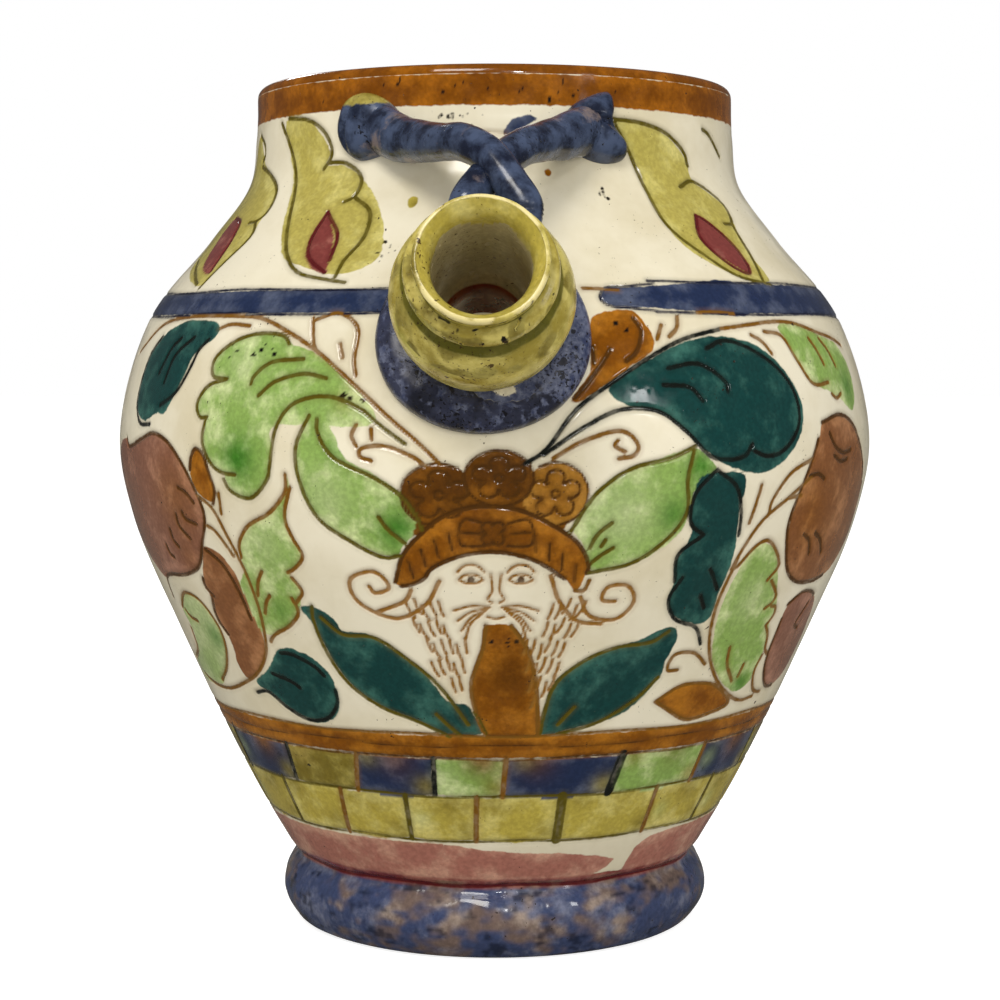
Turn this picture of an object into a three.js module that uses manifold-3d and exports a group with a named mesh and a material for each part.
// A round-bellied earthenware ewer: a thrown vessel on a rolled foot, with a turned spout held to the neck by two
// crossed coils of clay, and a strap handle behind. It is fired as one piece, so it is one solid.
// Millimetres, +Z up, origin at the centre of the flat underside, spout towards -Y, handle towards +Y.
import * as THREE from "three";
import { mergeVertices } from "three/addons/utils/BufferGeometryUtils.js";
import Module from "manifold-3d";

const wasm = await Module();
wasm.setup();

// Vessel: each rise is the height from one station of the outline to the next, from the ground up.
const baseRadius = 50;
const footRadius = 58;
const footRise = 18.6;
const waistRadius = 54.3;
const flareRise = 21.4;
const flareRadius = 66.3;
const lowerBellyRise = 40;
const lowerBellyRadius = 84.9;
const upperBellyRise = 28;
const upperBellyRadius = 96.2;
const bellyRise = 22;
const bellyRadius = 99.6;
const shoulderRise = 30;
const shoulderRadius = 91.3;
const slopeRise = 20;
const slopeRadius = 75.5;
const throatRise = 15;
const throatRadius = 64.9;
const neckRise = 13;
const neckRadius = 63.1;
const rimRise = 12;
const rimRadius = 62.7;
const wallThickness = 5;
const floorThickness = 8;

// Spout: a turned tube with a bulge and a moulded lip, on a pad of clay pressed round the joint.
const spoutDrop = 3.1;
const spoutLength = 41;
const spoutTiltDeg = 20.5;
const spoutSkewDeg = 1.2;
const spoutRootRadius = 16.5;
const spoutBulgeRadius = 20.8;
const spoutBulgeAt = 19.5;
const spoutGrooveRadius = 15.8;
const spoutGrooveAt = 29.7;
const spoutMouldingRadius = 16.5;
const spoutMouldingWidth = 4.2;
const lipRadius = 15;
const lipBoreRadius = 10.9;
const throughHoleRadius = 9;
const padDrop = 4.3;
const padRadius = 24.7;
const padThickness = 4.4;

// Crossed coils from the neck to the top of the spout.
const coilRadius = 4.7;
const coilEndRadius = 4;
const coilEndSetback = 21;
const coilFootDrop = 3.5;
const overCoil = { neckDeg: -26.5, spoutSide: 9.5, lift: 8, reach: 4, lag: 1.9 };
const underCoil = { neckDeg: 25.5, spoutSide: -3.5, lift: 5, reach: 0, lag: 1.5 };
const coilFoot = { halfWidth: 7.6, halfHeight: 7.4, thickness: 4 };

// Handle: a flat oval strap from the neck to the belly.
const handleReach = 28;
const handleWidth = 26;
const handleFootWidth = 20;
const handleThickness = 9;
const handleTopDrop = 12;
const handleFootDrop = 14;

// Fineness of the facets.
const aroundVessel = 52;
const upVessel = 20;
const upHollow = 12;
const aroundSpout = 28;
const aroundPad = 32;
const aroundCoil = 10;
const aroundHandle = 12;

const glaze = new THREE.MeshStandardMaterial({ color: 0xe6dfc6, roughness: 0.28, metalness: 0 });

const waistHeight = footRise;
const flareHeight = waistHeight + flareRise;
const lowerBellyHeight = flareHeight + lowerBellyRise;
const upperBellyHeight = lowerBellyHeight + upperBellyRise;
const bellyHeight = upperBellyHeight + bellyRise;
const shoulderHeight = bellyHeight + shoulderRise;
const slopeHeight = shoulderHeight + slopeRise;
const throatHeight = slopeHeight + throatRise;
const neckHeight = throatHeight + neckRise;
const rimHeight = neckHeight + rimRise;

const wall = new THREE.CatmullRomCurve3(
  [
    [waistRadius, waistHeight],
    [flareRadius, flareHeight],
    [lowerBellyRadius, lowerBellyHeight],
    [upperBellyRadius, upperBellyHeight],
    [bellyRadius, bellyHeight],
    [shoulderRadius, shoulderHeight],
    [slopeRadius, slopeHeight],
    [throatRadius, throatHeight],
    [neckRadius, neckHeight],
  ].map(([radius, height]) => new THREE.Vector3(radius, height, 0)),
  false,
  "centripetal",
);
const wallSamples = wall.getSpacedPoints(200);

/** The outline's point at a height between the waist and the neck, with the outward normal of the wall there. */
function wallAt(height) {
  const last = wallSamples.length - 1;
  const found = wallSamples.findIndex((point) => point.y >= height);
  const above = Math.min(Math.max(found < 0 ? last : found, 1), last);
  const low = wallSamples[above - 1];
  const high = wallSamples[above];
  const share = THREE.MathUtils.clamp((height - low.y) / (high.y - low.y), 0, 1);
  const along = new THREE.Vector2(high.x - low.x, high.y - low.y).normalize();
  return {
    radius: low.x + (high.x - low.x) * share,
    normal: new THREE.Vector2(along.y, -along.x),
  };
}

/** A point of the vessel's surface at an angle from the spout and a height, moved out along the normal. */
function onWall(angle, height, out = 0) {
  const { radius, normal } = wallAt(height);
  const reach = radius + normal.x * out;
  return new THREE.Vector3(reach * Math.sin(angle), -reach * Math.cos(angle), height + normal.y * out);
}

/** A closed mesh with one vertex for each place and no collapsed triangles, as a solid. */
function toSolid(geometry) {
  const bare = geometry.clone();
  bare.deleteAttribute("normal");
  bare.deleteAttribute("uv");
  const merged = mergeVertices(bare, 1e-4);
  const corners = [];
  const index = merged.index.array;
  for (let i = 0; i < index.length; i += 3) {
    const [a, b, c] = [index[i], index[i + 1], index[i + 2]];
    if (a !== b && b !== c && c !== a) corners.push(a, b, c);
  }
  return new wasm.Manifold(
    new wasm.Mesh({
      numProp: 3,
      vertProperties: new Float32Array(merged.attributes.position.array),
      triVerts: new Uint32Array(corners),
    }),
  );
}

function toGeometry(solid) {
  const mesh = solid.getMesh();
  const geometry = new THREE.BufferGeometry();
  geometry.setAttribute("position", new THREE.BufferAttribute(mesh.vertProperties, 3));
  geometry.setIndex(new THREE.BufferAttribute(mesh.triVerts, 1));
  geometry.computeVertexNormals();
  return geometry;
}

/** A solid of revolution about Z from [radius, height] pairs that run up the outside. */
function turned(outline, around) {
  const points = outline.map(([radius, height]) => new THREE.Vector2(radius, height));
  return new THREE.LatheGeometry(points, around).rotateX(Math.PI / 2);
}

/** A closed tube whose rings are given as lists of points, with a flat end at each side. */
function lofted(rings) {
  const sides = rings[0].length;
  const centre = (ring) => ring.reduce((sum, p) => sum.add(p), new THREE.Vector3()).divideScalar(sides);
  const points = [...rings.flat(), centre(rings[0]), centre(rings.at(-1))];
  const first = rings.length * sides;
  const corners = [];
  for (let side = 0; side < sides; side += 1) {
    const next = (side + 1) % sides;
    for (let ring = 0; ring + 1 < rings.length; ring += 1) {
      const here = ring * sides;
      const there = here + sides;
      corners.push(here + side, here + next, there + next, here + side, there + next, there + side);
    }
    const end = (rings.length - 1) * sides;
    corners.push(first, next, side, first + 1, end + side, end + next);
  }
  const geometry = new THREE.BufferGeometry().setFromPoints(points);
  geometry.setIndex(corners);
  return geometry;
}

/** A strap of oval section along a curve: width lies along `across`, thickness at right angles to it. */
function strap(curve, across, halfWidthAt, halfThicknessAt, steps, sides) {
  const rings = [];
  for (let step = 0; step <= steps; step += 1) {
    const share = step / steps;
    const along = curve.getTangentAt(share);
    const side = across.clone().addScaledVector(along, -across.dot(along)).normalize();
    const up = new THREE.Vector3().crossVectors(along, side);
    const ring = [];
    for (let corner = 0; corner < sides; corner += 1) {
      const turn = (corner / sides) * 2 * Math.PI;
      ring.push(
        curve
          .getPointAt(share)
          .addScaledVector(side, halfWidthAt(share) * Math.cos(turn))
          .addScaledVector(up, halfThicknessAt(share) * Math.sin(turn)),
      );
    }
    rings.push(ring);
  }
  return lofted(rings);
}

/** Points of an ellipse's arc in the outline's plane, from one angle to another. */
function arc(centre, half, fromDeg, toDeg, steps) {
  return Array.from({ length: steps + 1 }, (_, step) => {
    const turn = THREE.MathUtils.degToRad(fromDeg + ((toDeg - fromDeg) * step) / steps);
    return [centre[0] + half[0] * Math.cos(turn), centre[1] + half[1] * Math.sin(turn)];
  });
}

/** The vessel's outside as a full solid, with the rolled foot and the banded rim. */
function vesselOutside() {
  const rollDepth = footRadius - baseRadius;
  const rollEndDeg = THREE.MathUtils.radToDeg(Math.acos((waistRadius - baseRadius) / rollDepth));
  const roll = arc([baseRadius, footRise / 2], [rollDepth, footRise / 2], -90, rollEndDeg, 8);
  const wallPoints = wall.getSpacedPoints(upVessel).map((point) => [point.x, point.y]);
  const lipHalf = wallThickness / 2;
  const lip = arc([rimRadius - lipHalf, rimHeight - lipHalf], [lipHalf, lipHalf], 0, 90, 4);
  return toSolid(turned([[0, 0], ...roll, ...wallPoints, ...lip, [0, rimHeight]], aroundVessel));
}

/** The hollow: the wall's outline moved in by the wall's thickness, with a round floor and an open mouth. */
function vesselHollow() {
  const lipHalf = wallThickness / 2;
  const mouthRadius = rimRadius - wallThickness;
  const lowest = floorThickness + wallThickness;
  const inner = wall
    .getSpacedPoints(upHollow)
    .map((point) => [wallAt(point.y), point])
    .map(([at, point]) => [point.x - at.normal.x * wallThickness, point.y - at.normal.y * wallThickness])
    .filter(([, height]) => height > lowest + 4);
  const floorArc = arc([inner[0][0] - 18, inner[0][1]], [18, inner[0][1] - floorThickness], -90, 0, 5).slice(0, -1);
  const lip = arc([mouthRadius + lipHalf, rimHeight - lipHalf], [lipHalf, lipHalf], 180, 90, 4);
  const above = rimHeight + wallThickness;
  return toSolid(turned([[0, floorThickness], ...floorArc, ...inner, ...lip, [lip.at(-1)[0], above], [0, above]], aroundVessel));
}

const spoutTilt = THREE.MathUtils.degToRad(spoutTiltDeg);
const spoutSkew = THREE.MathUtils.degToRad(spoutSkewDeg);
const spoutRoot = onWall(0, shoulderHeight - spoutDrop);
const spoutSide = new THREE.Vector3(Math.cos(spoutSkew), Math.sin(spoutSkew), 0);
const spoutLevel = new THREE.Vector3(Math.sin(spoutSkew), -Math.cos(spoutSkew), 0);
const spoutAxis = spoutLevel.clone().multiplyScalar(Math.cos(spoutTilt)).setZ(Math.sin(spoutTilt));
const spoutUp = new THREE.Vector3().crossVectors(spoutAxis, spoutSide);

/** A point in the spout's own frame: along its axis from the wall, to the side, and up from the axis. */
function onSpout(along, side, up) {
  const point = spoutRoot.clone().addScaledVector(spoutAxis, along);
  return point.addScaledVector(spoutSide, side).addScaledVector(spoutUp, up);
}

/** Turns a solid about Z into the spout's axis. */
function alongSpout(geometry) {
  const frame = new THREE.Matrix4().makeBasis(spoutSide, spoutUp, spoutAxis);
  return geometry.applyMatrix4(frame.setPosition(spoutRoot));
}

/** How thick the spout is at a distance along its axis: root, bulge, groove and moulding. */
function spoutOutline() {
  const rootEnd = 3;
  const grooveHalf = 1.4;
  const bulge = new THREE.SplineCurve([
    new THREE.Vector2(spoutRootRadius, rootEnd),
    new THREE.Vector2((spoutRootRadius + spoutBulgeRadius * 3) / 4, (rootEnd + spoutBulgeAt) / 2),
    new THREE.Vector2(spoutBulgeRadius, spoutBulgeAt),
    new THREE.Vector2((spoutGrooveRadius + spoutBulgeRadius * 2) / 3, (spoutGrooveAt * 2 + spoutBulgeAt) / 3),
    new THREE.Vector2(spoutGrooveRadius, spoutGrooveAt),
  ]);
  const mouldingStart = spoutGrooveAt + grooveHalf;
  const mouldingEnd = mouldingStart + spoutMouldingWidth;
  const lipHalf = (lipRadius - lipBoreRadius) / 2;
  const lip = arc([lipRadius - lipHalf, spoutLength - lipHalf], [lipHalf, lipHalf], 0, 90, 4);
  return [
    ...bulge.getPoints(10).map((point) => [point.x, point.y]),
    [spoutMouldingRadius, mouldingStart],
    [spoutMouldingRadius, mouldingEnd - grooveHalf],
    [lipRadius, mouldingEnd],
    ...lip,
  ];
}

function spoutOutside() {
  return toSolid(
    alongSpout(turned([[0, -wallThickness], [spoutRootRadius, -wallThickness], ...spoutOutline(), [0, spoutLength]], aroundSpout)),
  );
}

/** The way through the spout: a rounded lip, a chamber that follows the bulge, and a smaller hole in the vessel's wall. */
function spoutBore() {
  const lipHalf = (lipRadius - lipBoreRadius) / 2;
  const lip = arc([lipRadius - lipHalf, spoutLength - lipHalf], [lipHalf, lipHalf], 180, 90, 4);
  const behindWall = -3 * wallThickness;
  const outside = spoutLength + wallThickness;
  return toSolid(
    alongSpout(
      turned(
        [
          [0, behindWall],
          [throughHoleRadius, behindWall],
          [throughHoleRadius, 0],
          [lipBoreRadius, wallThickness],
          ...lip,
          [lip.at(-1)[0], outside],
          [0, outside],
        ],
        aroundSpout,
      ),
    ),
  );
}

/** The pad of clay round the joint: a disc that follows the vessel's wall and thins out at its edge. */
function jointPad() {
  const buried = -wallThickness / 2;
  const padHeight = shoulderHeight - padDrop;
  const rings = [
    [padRadius - 1.6, buried],
    [padRadius, 0],
    [padRadius - 0.4, padThickness * 0.55],
    [padRadius - 2.4, padThickness * 0.9],
    [padRadius - 6, padThickness],
  ].map(([reach, out]) =>
    Array.from({ length: aroundPad }, (_, corner) => {
      const turn = (corner / aroundPad) * 2 * Math.PI;
      const { radius, normal } = wallAt(padHeight);
      const height = padHeight + reach * Math.sin(turn) * normal.x;
      return onWall((reach * Math.cos(turn)) / radius, height, out);
    }),
  );
  return toSolid(lofted(rings));
}

/** One coil: a foot pressed on the neck, and a strand that rises and then drops to the top of the spout. */
function coil({ neckDeg, spoutSide: side, lift, reach, lag }) {
  const angle = THREE.MathUtils.degToRad(neckDeg);
  const start = onWall(angle, neckHeight - coilFootDrop);
  const top = Math.sqrt(spoutBulgeRadius ** 2 - side ** 2) + coilEndRadius / 4;
  const end = onSpout(spoutLength - coilEndSetback, side, top);
  const points = [0, 0.2, 0.4, 0.6, 0.75, 0.9, 1].map((share) => {
    const bow = Math.sin(Math.PI * share ** lag);
    return start.clone().lerp(end, share).add(new THREE.Vector3(0, -reach * bow, lift * bow));
  });
  const curve = new THREE.CatmullRomCurve3(points);
  const round = (share) => THREE.MathUtils.lerp(coilRadius, coilEndRadius, share);
  const across = new THREE.Vector3(Math.cos(angle), Math.sin(angle), 0);
  const strand = toSolid(strap(curve, across, round, round, 14, aroundCoil));
  const foot = new THREE.SphereGeometry(1, 12, 8)
    .scale(coilFoot.halfWidth, coilFoot.thickness, coilFoot.halfHeight)
    .rotateZ(angle)
    .translate(start.x, start.y, start.z);
  return strand.add(toSolid(foot));
}

/** The strap handle behind the vessel. */
function handle() {
  const topHeight = neckHeight - handleTopDrop;
  const footHeight = bellyHeight - handleFootDrop;
  const sunk = wallThickness / 2;
  const top = onWall(Math.PI, topHeight, -sunk);
  const foot = onWall(Math.PI, footHeight, -sunk);
  const outermost = bellyRadius + handleReach;
  const rise = topHeight - footHeight;
  const spread = outermost - top.y;
  const curve = new THREE.CatmullRomCurve3(
    [
      top,
      new THREE.Vector3(0, top.y + spread * 0.34, topHeight + rise * 0.07),
      new THREE.Vector3(0, top.y + spread * 0.78, topHeight - rise * 0.02),
      new THREE.Vector3(0, outermost, topHeight - rise * 0.3),
      new THREE.Vector3(0, outermost - handleReach * 0.3, topHeight - rise * 0.68),
      foot,
    ],
    false,
    "centripetal",
  );
  const halfWidth = (share) => THREE.MathUtils.lerp(handleWidth, handleFootWidth, share) / 2;
  const halfThickness = () => handleThickness / 2;
  return toSolid(strap(curve, new THREE.Vector3(1, 0, 0), halfWidth, halfThickness, 20, aroundHandle));
}

const outside = [vesselOutside(), spoutOutside(), jointPad(), coil(overCoil), coil(underCoil), handle()];
const full = outside.reduce((sum, solid) => sum.add(solid));
const fired = full.subtract(vesselHollow()).subtract(spoutBore());

const ewer = new THREE.Mesh(toGeometry(fired), glaze);
ewer.name = "ewer";

const group = new THREE.Group();
group.add(ewer);

export default group;
